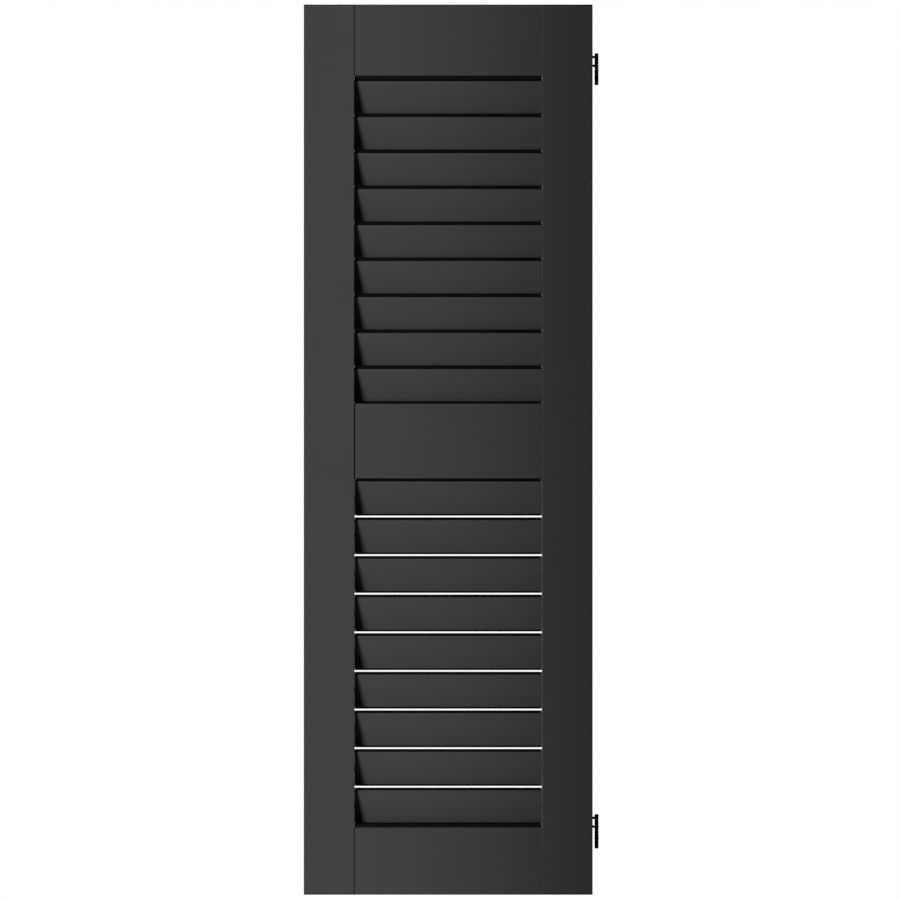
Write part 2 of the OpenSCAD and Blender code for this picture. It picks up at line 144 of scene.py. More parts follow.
# %% A strip box, and a place for it
def strip_box(name, place, target, width, height, power, beam=180):
    lamp = bpy.data.lights.new(name, "AREA")
    lamp.shape = "RECTANGLE"
    lamp.size = width
    lamp.size_y = height
    lamp.energy = power
    lamp.spread = math.radians(beam)
    holder = bpy.data.objects.new(name, lamp)
    holder.location = place
    holder.rotation_euler = (Vector(target) - Vector(place)).to_track_quat("-Z", "Y").to_euler()
    bpy.context.scene.collection.objects.link(holder)
    return holder


def around(azimuth, elevation, distance):
    """A place seen from the middle of the leaf. Azimuth is from -Y towards -X, in degrees."""
    turn, rise = math.radians(azimuth), math.radians(elevation)
    side = Vector((-math.sin(turn) * math.cos(rise), -math.cos(turn) * math.cos(rise),
                   math.sin(rise)))
    return leaf_mid + side * distance


print("lamps are placed round", [round(v, 3) for v in leaf_mid])

# %% A world that is seen bright and felt dark
def studio_world(seen, felt):
    """seen is the backdrop's strength for the camera, and felt its strength as light."""
    world = bpy.data.worlds.new("studio")
    world.use_nodes = True
    nodes, links = world.node_tree.nodes, world.node_tree.links
    nodes.clear()
    out = nodes.new("ShaderNodeOutputWorld")
    mix = nodes.new("ShaderNodeMixShader")
    path = nodes.new("ShaderNodeLightPath")
    for index, strength in ((1, felt), (2, seen)):
        back = nodes.new("ShaderNodeBackground")
        back.inputs["Color"].default_value = (1, 1, 1, 1)
        back.inputs["Strength"].default_value = strength
        links.new(back.outputs[0], mix.inputs[index])
    links.new(path.outputs["Is Camera Ray"], mix.inputs[0])
    links.new(mix.outputs[0], out.inputs["Surface"])
    bpy.context.scene.world = world


studio_world(seen=1.0, felt=0.004)
print("world:", bpy.context.scene.world.name)

# %% Hang the lamps
aim = leaf_mid + Vector((-0.09, 0, 0))      # a little left of the middle
key = strip_box("key_box", around(33, 0, 1.35), aim, width=0.36, height=3.4, power=4.7, beam=46)
back_turn, back_rise, back_far = 145, 20, 2.8
back_left, back_right = (
    strip_box(name, around(turn, back_rise, back_far), leaf_mid, width=0.8, height=2.0, power=40)
    for name, turn in (("back_box_left", back_turn), ("back_box_right", -back_turn)))
print("lamps:", key.name, back_left.name, back_right.name)

# %% [markdown]
# ## The floor
# The leaf hangs on a wall beside a window, so it touches no floor. A wall behind it would hide the
# white gaps between the louvres, so only a pale floor is laid, well below it, as in a studio.

# %% Floor
floor_drop = 1.3
floor_half = 8.0
floor_mesh = bpy.data.meshes.new("studio_floor")
corners = [(-1, -1), (1, -1), (1, 1), (-1, 1)]
floor_z = leaf_low.z - floor_drop
floor_mesh.from_pydata([(x * floor_half, y * floor_half, floor_z) for x, y in corners], [],
                       [(0, 1, 2, 3)])
studio_floor = bpy.data.objects.new("studio_floor", floor_mesh)
bpy.context.scene.collection.objects.link(studio_floor)
print("floor at", round(floor_z, 3))

# %% [markdown]
# ## Materials: how they are built
# A flat colour looks like plastic, and a painted image has no true scale. So each finish is a small
# tree of noise on Object coordinates: its pattern keeps its real size and stays on its piece. The
# helpers below add one node and wire it at once. Values that are the same all over a surface are
# set on the shader itself.

# %% Add a node and wire it
def add_node(tree, kind, settings=None, **inputs):
    """Adds a node. settings are its own properties, and inputs are values or sockets to wire."""
    made = tree.nodes.new(kind)
    for key, value in (settings or {}).items():
        setattr(made, key, value)
    for key, value in inputs.items():
        put(tree, made, key.replace("_", " "), value)
    return made


def put(tree, made, key, value):
    socket = made.inputs[int(key)] if key.isdigit() else made.inputs[key]
    if isinstance(value, bpy.types.NodeSocket):
        tree.links.new(value, socket)
    else:
        socket.default_value = value


print("a node can be added and wired in one line")

# %% Start a finish
finishes = {}


def new_finish(name, colour, rough, metal=0.0, specular=0.5):
    """A material with its shader set, and the object's own coordinates to draw patterns on."""
    made = bpy.data.materials.new(name)
    made.use_nodes = True
    tree = made.node_tree
    shader = tree.nodes["Principled BSDF"]
    shader.inputs["Base Color"].default_value = (*colour, 1)
    shader.inputs["Roughness"].default_value = rough
    shader.inputs["Metallic"].default_value = metal
    shader.inputs["Specular IOR Level"].default_value = specular
    place = add_node(tree, "ShaderNodeTexCoord").outputs["Object"]
    return made, tree, shader, place


print("a finish starts from a Principled shader and Object coordinates")

# %% Patterns
def noise(tree, place, scale, detail=2.0, rough=0.5):
    made = add_node(tree, "ShaderNodeTexNoise", Vector=place, Scale=scale, Detail=detail,
                    Roughness=rough)
    return made.outputs["Fac"]


noise_low, noise_high = 0.3, 0.7            # nearly all of a noise lies between these


def spread(tree, value, low, high):
    """Maps a noise value onto low to high."""
    made = add_node(tree, "ShaderNodeMapRange", Value=value, From_Min=noise_low,
                    From_Max=noise_high, To_Min=low, To_Max=high)
    return made.outputs["Result"]


def stretched(tree, place, scale):
    """Coordinates squeezed along an axis, so that a pattern on them is drawn out along it."""
    return add_node(tree, "ShaderNodeMapping", Vector=place, Scale=scale).outputs["Vector"]


print("patterns: noise, spread between", noise_low, "and", noise_high, "and stretched")

# %% Tints and bumps
def tint(tree, colour, value, swing):
    """The colour, made lighter and darker by the share swing as value goes from 0 to 1."""
    dark = [c * (1 - swing) for c in colour]
    light = [c * (1 + swing) for c in colour]
    ramp = add_node(tree, "ShaderNodeMix", {"data_type": "RGBA"})
    tree.links.new(value, ramp.inputs["Factor"])
    ramp.inputs[6].default_value = (*dark, 1)
    ramp.inputs[7].default_value = (*light, 1)
    return ramp.outputs[2]


def bump(tree, shader, *layers):
    """Stacks bump layers, each a height socket, its depth in metres and its strength."""
    normal = None
    for height, depth, strength in layers:
        made = add_node(tree, "ShaderNodeBump", Height=height, Distance=depth, Strength=strength)
        if normal:
            tree.links.new(normal, made.inputs["Normal"])
        normal = made.outputs["Normal"]
    tree.links.new(normal, shader.inputs["Normal"])


print("tints and bumps are ready")

# %% [markdown]
# ### Anthracite powder coat
# The leaf is sprayed with dry paint that melts in an oven. It flows into a satin skin with a very
# fine orange peel, about a millimetre from hill to hill, and an even finer grain on top. The tone
# wanders by a per cent or two over a hand's width, because the coat isn't equally thick. One layer
# of noise would give the peel or the wander but not both, so three are stacked.

# %% Powder coat
def powder_coat(name, colour):
    made, tree, shader, place = new_finish(name, colour, 0.62, specular=0.4)
    peel = noise(tree, place, scale=780, detail=3.0)
    grain = noise(tree, place, scale=3200, detail=1.0)
    cloud = noise(tree, place, scale=9)
    tree.links.new(tint(tree, colour, spread(tree, cloud, 0, 1), 0.02),
                   shader.inputs["Base Color"])
    tree.links.new(spread(tree, peel, 0.59, 0.65), shader.inputs["Roughness"])
    bump(tree, shader, (peel, 0.04 * MM, 0.35), (grain, 0.01 * MM, 0.25))
    finishes[name] = made


# The blades take the frame's coat, painted about a third lighter to make up for the shade they get
# by
# # leaning down, away from the key light. Their slightly bluer tone is their own.
powder_coat("anthracite_coat", (0.0475, 0.0482, 0.0512))
powder_coat("louvre_coat_painted_lighter", (0.0630, 0.0642, 0.0690))
print("finishes:", ", ".join(finishes))

# %% [markdown]
# ### Nylon
# Caps, plugs, pivot plugs and bearing strips are moulded nylon. It is duller than the coat, with a
# fine spark-eroded texture from the mould. The two colours differ in nothing else, so one function
# makes both.

# %% Dark and black nylon
def nylon(name, colour):
    made, tree, shader, place = new_finish(name, colour, 0.55, specular=0.4)
    spark = noise(tree, place, scale=1500, rough=0.6)
    flow = noise(tree, stretched(tree, place, (20, 20, 60)), scale=1.0)
    tree.links.new(tint(tree, colour, flow, 0.06), shader.inputs["Base Color"])
    tree.links.new(spread(tree, spark, 0.5, 0.62), shader.inputs["Roughness"])
    bump(tree, shader, (spark, 0.03 * MM, 0.4))
    finishes[name] = made


nylon("dark_nylon", (0.045, 0.0455, 0.048))
nylon("black_nylon", (0.010, 0.010, 0.011))
print("finishes:", ", ".join(finishes))

# %% [markdown]
# ### Seal rubber
# The lips are extruded rubber. Extrusion leaves faint lines along the length, and a bloom of talc
# makes the tone uneven. The lines could be modelled, but they are less than half a millimetre
# apart, so they are a bump. They run along X, so their noise is squeezed in Y and Z.

# %% Seal rubber
rubber_colour = (0.0032, 0.0032, 0.0035)
rubber, tree, shader, place = new_finish("seal_rubber", rubber_colour, 0.75, specular=0.12)
lines = noise(tree, stretched(tree, place, (6, 2600, 2600)), scale=1.0)
bloom = noise(tree, place, scale=60, detail=4.0, rough=0.6)
tree.links.new(tint(tree, rubber_colour, bloom, 0.2), shader.inputs["Base Color"])
tree.links.new(spread(tree, bloom, 0.62, 0.78), shader.inputs["Roughness"])
bump(tree, shader, (lines, 0.03 * MM, 0.5))
finishes["seal_rubber"] = rubber
print("finish:", rubber.name)

# %% [markdown]
# ### Bare metals
# The link, clamp plates and anchor blocks are bare aluminium, with lines drawn along them by the
# extrusion die. The screws are zinc-plated, with a fine crystal pattern. Both are one noise on a
# metal shader, drawn out along Z for the die lines and left even for the crystals.

# %% Aluminium and zinc
def drawn_metal(name, colour, rough, scale, swing):
    made, tree, shader, place = new_finish(name, colour, rough, metal=1.0)
    lines = noise(tree, stretched(tree, place, scale), scale=1.0, detail=3.0, rough=0.6)
    tree.links.new(tint(tree, colour, lines, swing), shader.inputs["Base Color"])
    tree.links.new(spread(tree, lines, rough - 0.06, rough + 0.08), shader.inputs["Roughness"])
    bump(tree, shader, (lines, 0.02 * MM, 0.3))
    finishes[name] = made


drawn_metal("bare_aluminium", (0.62, 0.63, 0.65), 0.36, (1800, 1800, 12), 0.08)
drawn_metal("zinc_steel", (0.58, 0.59, 0.61), 0.3, (900, 900, 900), 0.14)
print("finishes:", ", ".join(finishes))

# %% [markdown]
# ### Black steel and the floor
# The hinges are steel under a black coat. Bare steel would be a metal shader, but a coat hides the
# metal, so this one is a dark paint with fine specks. The floor is matt paint with a faint cloud.

# %% Black steel
black_steel = (0.012, 0.012, 0.0125)
steel, tree, shader, place = new_finish("hinge_steel", black_steel, 0.42, specular=0.5)
speck = noise(tree, place, scale=1400, rough=0.6)
tree.links.new(tint(tree, black_steel, speck, 0.15), shader.inputs["Base Color"])
tree.links.new(spread(tree, speck, 0.38, 0.5), shader.inputs["Roughness"])
bump(tree, shader, (speck, 0.02 * MM, 0.35))
finishes["hinge_steel"] = steel
print("finishes:", ", ".join(finishes))

# %% The studio floor's own finish
floor_colour = (0.78, 0.78, 0.77)
floor_paint, tree, shader, place = new_finish("floor_paint", floor_colour, 0.8, specular=0.2)
tree.links.new(tint(tree, floor_colour, noise(tree, place, scale=3, detail=3.0), 0.015),
               shader.inputs["Base Color"])
studio_floor.data.materials.append(floor_paint)
print("floor finish:", floor_paint.name)

# %% [markdown]
# ## Dressing the CAD pieces
# Each CAD piece takes the finish of its slot. The stiles, rails, strips and caps could be drawn
# again, but their shapes are right as they are, so only the material changes.

# %% Give every CAD piece its finish
for name, piece in frame["nodes"].items():
    piece.data.materials.clear()
    piece.data.materials.append(finishes[slot_of[name]])
print("dressed", len(frame["nodes"]), "pieces")

# %% [markdown]
# ## Two ways of making a solid
# Nearly every part of a shutter is either an extrusion or a turned part. Cubes and cylinders with
# boolean cuts could make them, but leave ragged faces. So the first helper draws a closed solid
# along X from an outline in Y and Z, with holes if there are more loops. The second turns an
# outline of radii and heights about Z. Both write plain faces, and bmesh then points them outwards.

# %% Extruded solids
def solid_mesh(name, corners, faces):
    mesh = bpy.data.meshes.new(name)
    mesh.from_pydata(corners, [], faces)
    shape = bmesh.new()
    shape.from_mesh(mesh)
    bmesh.ops.recalc_face_normals(shape, faces=shape.faces)
    shape.to_mesh(mesh)
    shape.free()
    return mesh


def extruded(name, loops, start, end):
    """Draws the loops, (y, z) pairs with the outer one first, along X from start to end."""
    points = [point for loop in loops for point in loop]
    corners = [(x, y, z) for x in (start, end) for y, z in points]
    count = len(points)
    faces = []
    for face in tessellate_polygon([[Vector((y, z, 0)) for y, z in loop] for loop in loops]):
        faces += [tuple(face), tuple(i + count for i in face)]
    first = 0
    for loop in loops:
        size = len(loop)
        for i in range(size):
            a, b = first + i, first + (i + 1) % size
            faces.append((a, b, b + count, a + count))
        first += size
    return solid_mesh(name, corners, faces)


print("extruded solids are ready")

# %% Turned solids
def turned(name, outline, steps=40, ring=False):
    """Turns (radius, height) pairs about Z. A ring's outline closes on itself, off the axis."""
    corners, rows = [], []
    for radius, height in outline:
        if radius == 0:
            rows.append([len(corners)] * steps)
            corners.append((0, 0, height))
        else:
            rows.append(list(range(len(corners), len(corners) + steps)))
            corners += [(radius * math.cos(turn), radius * math.sin(turn), height)
                        for turn in (2 * math.pi * i / steps for i in range(steps))]
    faces = []
    for low, high in zip(rows, rows[1:] + (rows[:1] if ring else [])):
        for i in range(steps):
            j = (i + 1) % steps
            face = tuple(dict.fromkeys((low[i], low[j], high[j], high[i])))
            if len(face) > 2:
                faces.append(face)
    return solid_mesh(name, corners, faces)


print("turned solids are ready")

# %% Move and join meshes
def moved(mesh, matrix):
    mesh.transform(matrix)
    return mesh


def joined(name, meshes):
    whole = bmesh.new()
    for mesh in meshes:
        whole.from_mesh(mesh)
    made = bpy.data.meshes.new(name)
    whole.to_mesh(made)
    whole.free()
    return made


def at(x, y, z):
    return Matrix.Translation((x, y, z))


print("meshes can be moved and joined")

# %% [markdown]
# ## Geometry Nodes: one piece, many places
# A shutter repeats itself: louvres up a leaf, screws down a stile, plugs over the screws. An Array
# modifier could repeat them too, but a tree also sets the finish and can be used again by name. So
# one tree serves them all. It lays points along a line, puts a copy of the incoming mesh on each,
# makes the copies real and gives them their finish. The number, the first place and the step are
# named inputs, so the same tree sets nine blades or two plugs.

# %% The start and the end of any tree
def new_tree(name, *inputs):
    tree = bpy.data.node_groups.new(name, "GeometryNodeTree")
    tree.interface.new_socket("Geometry", in_out="INPUT", socket_type="NodeSocketGeometry")
    for label, kind in inputs:
        tree.interface.new_socket(label, in_out="INPUT", socket_type="NodeSocket" + kind)
    tree.interface.new_socket("Geometry", in_out="OUTPUT", socket_type="NodeSocketGeometry")
    given = tree.nodes.new("NodeGroupInput").outputs
    result = tree.nodes.new("NodeGroupOutput")
    return tree, given, result


def finished_output(tree, result, made, finish):
    real = add_node(tree, "GeometryNodeRealizeInstances", Geometry=made)
    coated = add_node(tree, "GeometryNodeSetMaterial", Geometry=real.outputs[0], Material=finish)
    tree.links.new(coated.outputs[0], result.inputs[0])


print("every tree ends in Realize Instances and Set Material")

# %% The tree that repeats a piece along a line
def repeat_tree():
    tree, given, result = new_tree("repeat_along_a_line", ("Count", "Int"), ("First", "Vector"),
                                   ("Step", "Vector"), ("Finish", "Material"))
    line = tree.nodes.new("GeometryNodeMeshLine")
    for label, source in (("Count", "Count"), ("Start Location", "First"), ("Offset", "Step")):
        tree.links.new(given[source], line.inputs[label])
    copies = add_node(tree, "GeometryNodeInstanceOnPoints", Points=line.outputs[0],
                      Instance=given["Geometry"])
    finished_output(tree, result, copies.outputs[0], given["Finish"])
    return tree


repeat = repeat_tree()
print("tree:", repeat.name)

# %% Run a tree and keep its mesh
def socket_id(tree, label):
    return next(item.identifier for item in tree.interface.items_tree
                if item.name == label and item.in_out == "INPUT")


def grown(name, seed, tree, **sizes):
    """Runs a tree on a mesh, and returns what it makes as an object with a plain mesh."""
    piece = bpy.data.objects.new(name, seed)
    bpy.context.scene.collection.objects.link(piece)
    modifier = piece.modifiers.new("grow", "NODES")
    modifier.node_group = tree
    for label, value in sizes.items():
        modifier[socket_id(tree, label.replace("_", " "))] = value
    graph = bpy.context.evaluated_depsgraph_get()
    mesh = bpy.data.meshes.new_from_object(piece.evaluated_get(graph))
    piece.modifiers.clear()
    piece.data = mesh
    mesh.name = name
    return piece


def grown_mesh(name, seed, tree, **sizes):
    """The same, for a mesh that will be joined to others, so its object isn't kept."""
    piece = grown(name, seed, tree, **sizes)
    mesh = piece.data
    bpy.data.objects.remove(piece)
    return mesh


print(repeat.name, "takes", [item.name for item in repeat.interface.items_tree
                             if item.in_out == "INPUT"])

# %% [markdown]
# ### A thread
# A thread is a ridge wound round a shank. It could be drawn point by point, or be stacked rings,
# which don't climb. A second tree sweeps a small square along a spiral, and joins it to the shank.

# %% The tree that winds a thread
thread_sides, thread_steps = 4, 20          # corners of the ridge, and steps in each turn


def thread_tree():
    """Winds a ridge round the incoming shank, which stands on the origin along Z."""
    tree, given, result = new_tree("wound_thread", ("Length", "Float"), ("Turns", "Float"),
                                   ("Radius", "Float"), ("Depth", "Float"),
                                   ("Finish", "Material"))
    wind = tree.nodes.new("GeometryNodeCurveSpiral")
    wind.inputs["Resolution"].default_value = thread_steps
    for label, source in (("Rotations", "Turns"), ("Height", "Length"),
                          ("Start Radius", "Radius"), ("End Radius", "Radius")):
        tree.links.new(given[source], wind.inputs[label])
    upright = add_node(tree, "GeometryNodeSetCurveNormal", {"mode": "Z_UP"},
                       Curve=wind.outputs[0])
    ridge = tree.nodes.new("GeometryNodeCurvePrimitiveCircle")
    ridge.inputs["Resolution"].default_value = thread_sides
    tree.links.new(given["Depth"], ridge.inputs["Radius"])
    swept = tree.nodes.new("GeometryNodeCurveToMesh")
    tree.links.new(upright.outputs[0], swept.inputs["Curve"])
    tree.links.new(ridge.outputs[0], swept.inputs["Profile Curve"])
    swept.inputs["Fill Caps"].default_value = True
    both = tree.nodes.new("GeometryNodeJoinGeometry")
    tree.links.new(given["Geometry"], both.inputs[0])
    tree.links.new(swept.outputs[0], both.inputs[0])
    finished_output(tree, result, both.outputs[0], given["Finish"])
    return tree


thread = thread_tree()


def threaded(name, shank, length, radius, pitch, depth, finish):
    return grown_mesh(name, shank, thread, Length=length, Turns=length / pitch, Radius=radius,
                      Depth=depth, Finish=finishes[finish])


print("tree:", thread.name)

# %% [markdown]
# ## Handing a piece over
# A finished piece needs three things: the body it moves with, the finish it takes, and the CAD
# # pieces it stands for. The finish is set where each piece is made. One function gives every piece
# # its body and hides the CAD pieces it stands for, so that none is forgotten. Faces are shaded
# # smooth across gentle turns and flat across sharp ones.

# %% Handing over
def hand_over(piece, body, slot, *nodes, soft_below=35):
    piece.data.polygons.foreach_set("use_smooth", [True] * len(piece.data.polygons))
    piece.data.set_sharp_from_angle(angle=math.radians(soft_below))
    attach(piece, body)
    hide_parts(*nodes)
    print(piece.name, "rides", body, "with", len(piece.data.polygons), "faces")


def row_of(name, mesh, finish, count, first, step=(0, 0, 0), make=grown):
    """A row of count copies. With make=grown_mesh only its mesh is kept."""
    return make(name, mesh, repeat, Count=count, First=tuple(first), Step=tuple(step),
                Finish=finishes[finish])


print("hand_over and row_of are ready")

# %% [markdown]
# ## The louvre blades
# A blade is a hollow aluminium extrusion, cut to length: two thin faces, a solid edge on each side
# with a groove for a rubber lip, and softly rounded corners that catch the light as a thin line. A
# stretched box would miss the grooves and the hollow ends, so the outline is drawn, upright, and
# then leaned as the whole bank leans. The upper bank is one piece, because its blades are fixed in
# the leaf. Each lower blade is a body of its own.

# %% The outline of a blade
def rounded(width, height, radius, steps=6):
    """Corners of a rectangle with round corners, about its middle, as (y, z) pairs."""
    points = []
    for corner, (sy, sz) in enumerate(((1, 1), (-1, 1), (-1, -1), (1, -1))):
        for i in range(steps + 1):
            turn = math.radians(90 * (corner + i / steps))
            points.append((sy * (width / 2 - radius) + radius * math.cos(turn),
                           sz * (height / 2 - radius) + radius * math.sin(turn)))
    return points


def blade_outline():
    """The outer loop, with a seal groove let into its top and bottom edges."""
    edge = blade_width / 2
    mouth = lip_thick / 2 + slack
    chamfer = 0.2 * MM
    floor = edge - lip_root
    groove = [(mouth + chamfer, edge), (mouth, edge - chamfer), (mouth, floor),
              (-mouth, floor), (-mouth, edge - chamfer), (-mouth - chamfer, edge)]
    loop = rounded(blade_thick, blade_width, blade_arris)
    steps = len(loop) // 4
    below = [(-y, -z) for y, z in groove]
    return loop[:steps] + groove + loop[steps:3 * steps] + below + loop[3 * steps:]


core_round = 0.4 * MM                       # radius in the corners of the hollow
blade_core = rounded(blade_thick - 2 * blade_wall, blade_width - 2 * blade_edge, core_round, 3)
leaned = Matrix.Rotation(lean, 4, "X")


def blade_mesh(name, length):
    blank = extruded(name, [blade_outline(), blade_core], -length / 2, length / 2)
    return moved(blank, leaned)


print("blade outline has", len(blade_outline()), "corners")

# %% Both banks of blades
upper_step = (middle(upper[-1]) - middle(upper[0])) / (bank - 1)
upper_blades = row_of("upper_blades", blade_mesh("upper_blade", extent(upper[0]).x),
                      "louvre_coat_painted_lighter", bank, middle(upper[0]), upper_step)
hand_over(upper_blades, "leaf", "anthracite_coat", *upper)

lower_blank = blade_mesh("lower_blade", extent(lower[0]).x)
for number, node in enumerate(lower, 1):
    blade = row_of(f"lower_blade_{number}", lower_blank.copy(), "louvre_coat_painted_lighter", 1, middle(node))
    hand_over(blade, f"louvre_{number}", "anthracite_coat", node)

# %% [markdown]
# ## The rubber lips
# Each blade edge carries an extruded rubber lip. Its root has two barbs that bite in the groove,
# then a waist that lets it bend, a plump middle and a round tip. A flat strip would do from the
# front, but the ends show wherever a blade is tilted, so the outline is drawn in full.

# %% The outline of a lip
def lip_outline():
    """One lip, standing out of the top edge of an upright blade."""
    root, mouth = blade_width / 2 - lip_root + slack, blade_width / 2
    half, waist, barb = lip_thick / 2, 0.62 * MM, 0.75 * MM
    side = [(waist, root), (half, root + barb / 2), (waist, root + barb), (waist, root + 2 * barb),
            (half, root + 2.4 * barb), (half, mouth + 0.25 * MM), (waist, mouth + 0.7 * MM),
            (waist, mouth + 1.0 * MM), (half, mouth + 1.6 * MM)]
    centre = lip_reach - half
    tip = [(half * math.cos(turn), centre + half * math.sin(turn))
           for turn in (math.pi * i / 12 for i in range(13))]
    return side + tip + [(-y, z) for y, z in reversed(side)]


def lips_mesh(name, length):
    top = lip_outline()
    bottom = [(-y, -z) for y, z in top]
    pair = [extruded(name, [loop], -length / 2, length / 2) for loop in (top, bottom)]
    return moved(joined(name, pair), leaned)


print("lip outline has", len(lip_outline()), "corners")

# %% Both banks of lips
upper_lips = row_of("upper_lips", lips_mesh("upper_lip", extent("upper_seals").x),
                    "seal_rubber", bank, middle(upper[0]), upper_step)
hand_over(upper_lips, "leaf", "seal_rubber", "upper_seals")

lower_lip = lips_mesh("lower_lip", extent("louvre_seals_1").x)
for number, node in enumerate(lower, 1):
    lips = row_of(f"lower_lips_{number}", lower_lip.copy(), "seal_rubber", 1, middle(node))
    hand_over(lips, f"louvre_{number}", "seal_rubber", f"louvre_seals_{number}")

# %% [markdown]
# ## The rail seals
# Above and below each bank a flat rubber strip stands on the rail, in front of the nearest lip. It
# is pressed into a groove by a barbed tongue. Four strips could be placed one by one, but two rows
# of two keep them in step: the ones that stand up and the ones that hang down.

# %% Sizes and places of the rail seals
mid_rail_lip = 4 * MM                       # height of the middle rail's own metal lips
seal_low, seal_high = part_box("rail_seals")
seal_thick = seal_high.y - seal_low.y
seal_lap = 1 * MM                           # overlap with the nearest blade's lip
tongue_depth, tongue_half = 1.15 * MM, 0.6 * MM
lower_base = seal_low.z + tongue_depth
upper_top = seal_high.z - tongue_depth
lower_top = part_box("mid_rail")[0].z + mid_rail_lip
upper_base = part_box("mid_rail")[1].z - mid_rail_lip
rail_to_pivot = middle(lower[-1]).z - lower_base
lip_rise = lip_reach * math.cos(lean) + lip_thick / 2 * math.sin(lean)
seal_tall = rail_to_pivot - lip_rise + seal_lap
print("rail seals stand", round(seal_tall / MM, 2), "mm tall")

# %% The outline of a rail seal
def seal_outline(up):
    half, soft = seal_thick / 2, 0.5 * MM
    side = [(tongue_half * 0.6, -tongue_depth), (tongue_half, -tongue_depth * 0.7),
            (tongue_half * 0.75, 0), (half - soft / 2, 0), (half, soft / 2),
            (half, seal_tall - soft), (half - soft * 0.3, seal_tall - soft * 0.3),
            (half - soft, seal_tall)]
    loop = side + [(-y, z) for y, z in reversed(side)]
    return [(y * up, z * up) for y, z in loop]


def seal_row(name, up, first, step):
    half = (seal_high.x - seal_low.x) / 2
    return row_of(name, extruded(name, [seal_outline(up)], -half, half), "seal_rubber", 2,
                  (open_mid, (seal_low.y + seal_high.y) / 2, first), (0, 0, step), grown_mesh)


print("seal outline has", len(seal_outline(1)), "corners")

# %% All four rail seals as one piece
def one_piece(name, meshes, finish, mesh_name=None):
    """An object for meshes that already have their place, all in one finish."""
    piece = bpy.data.objects.new(name, joined(mesh_name or name, meshes))
    bpy.context.scene.collection.objects.link(piece)
    piece.data.materials.clear()
    piece.data.materials.append(finishes[finish])
    return piece


standing = seal_row("standing_seals", 1, lower_base, upper_base - lower_base)
hanging = seal_row("hanging_seals", -1, lower_top, upper_top - lower_top)
rail_strips = one_piece("rail_strips", [standing, hanging], "seal_rubber")
hand_over(rail_strips, "leaf", "seal_rubber", "rail_seals")

# %% [markdown]
# ## The joint screws
# Twelve long screws pull the rails' ends against the stiles. Each has a pan head with a round
# recess, a plain neck and a thread wound round its shank. They sit inside the stiles, under the
# plugs, and show only when a plug is out. Twelve drawn screws would hold twelve chances of a slip,
# so one is made, turned to face each side, and repeated down each joint.

# %% One joint screw, standing on its tip
head_tall, head_wide, screw_wide = 3.6 * MM, 9 * MM, 5 * MM
clamp_deep = 6 * MM                         # from the stile's face to the seat of the head
screw_long = 34 * MM + clamp_deep
screw_gap = 32 * MM                         # between the two screws of a joint


def screw_shank():
    """The neck and the threaded part, up into the head."""
    core, neck, tip = screw_wide / 2 - 0.4 * MM, 6 * MM, 1.5 * MM
    pitch, depth = 0.8 * MM, 0.38 * MM
    plain = screw_wide / 2 - 0.02 * MM
    into_head = screw_long + 0.5 * MM
    shank = turned("screw_shank", [(0, 0), (core * 0.6, 0), (core, tip), (core, screw_long - neck),
                                   (plain, screw_long - neck + 0.4 * MM), (plain, into_head),
                                   (0, into_head)], 24)
    wound = threaded("screw_thread", moved(shank, at(0, 0, -tip)), screw_long - neck - tip, core,
                     pitch, depth, "zinc_steel")
    return moved(wound, at(0, 0, tip))


def screw_head():
    """A pan head with a recess in its top."""
    half, soft, rim, recess = head_wide / 2, 0.2 * MM, 1.2 * MM, 1.9 * MM
    round_over = [(half * math.cos(turn) ** 0.6,
                   screw_long + rim + (head_tall - rim) * math.sin(turn))
                  for turn in (math.radians(10 * i) for i in range(9))]
    return turned("screw_head", [(0, screw_long), (half - soft, screw_long),
                                 (half, screw_long + soft)] + round_over
                  + [(recess, screw_long + head_tall),
                     (recess * 0.7, screw_long + rim + soft), (0, screw_long + rim)], 32)


screw = joined("joint_screw", [screw_shank(), screw_head()])
print("screw has", len(screw.polygons), "faces")

# %% All twelve screws
rails = ("bottom_rail", "mid_rail", "top_rail")


def pairs_at_joints(name, mesh, finish, left_x, right_x):
    """Two copies at each end of each rail. The mesh's Z is turned to point out of the leaf."""
    rows = []
    for side, x in ((-1, left_x), (1, right_x)):
        turn = Matrix.Rotation(math.radians(90 * side), 4, "Y")
        rows += [row_of(name, moved(mesh.copy(), turn), finish, 2,
                        (x, leaf_y, middle(rail).z - screw_gap / 2), (0, 0, screw_gap), grown_mesh)
                 for rail in rails]
    return rows


tip_in = screw_long - clamp_deep            # how far a tip reaches past the stile's inner face
screws = one_piece("frame_screws", pairs_at_joints("screw_row", screw, "zinc_steel",
                                                   open_left + tip_in, open_right - tip_in),
                   "zinc_steel")
hand_over(screws, "leaf", "zinc_steel", "joint_screws")

# %% [markdown]
# ## The screw plugs
# A black nylon plug closes the hole over each screw. Its face is level with the stile, dished by a
# few tenths of a millimetre, and has a rounded edge, so it shows as a neat ring. A flat disc would
# vanish in the stile. It is turned, and set at the same places as the screws.

# %% Plugs
plug_rim, stile_wall = 0.6 * MM, 2 * MM
plug_half = extent("screw_plugs").y / 2 - plug_rim
plug_deep = stile_wall + 2 * plug_rim


def plug_mesh():
    """A plug whose face looks along +Z at height 0."""
    dish, soft = 0.35 * MM, 0.3 * MM
    outline = [(0, -plug_deep), (plug_half, -plug_deep), (plug_half + plug_rim, -plug_deep + soft),
               (plug_half + plug_rim, -stile_wall), (plug_half, -stile_wall), (plug_half, -soft),
               (plug_half - soft * 0.3, -soft * 0.3), (plug_half - soft, 0),
               (plug_half - 3 * soft, 0), (plug_half - 5 * soft, -dish), (0, -dish)]
    return turned("screw_plug", outline, 40)


plugs = one_piece("plugs", pairs_at_joints("plug_row", plug_mesh(), "black_nylon",
                                           leaf_low.x, leaf_high.x), "black_nylon")
hand_over(plugs, "leaf", "black_nylon", "screw_plugs")

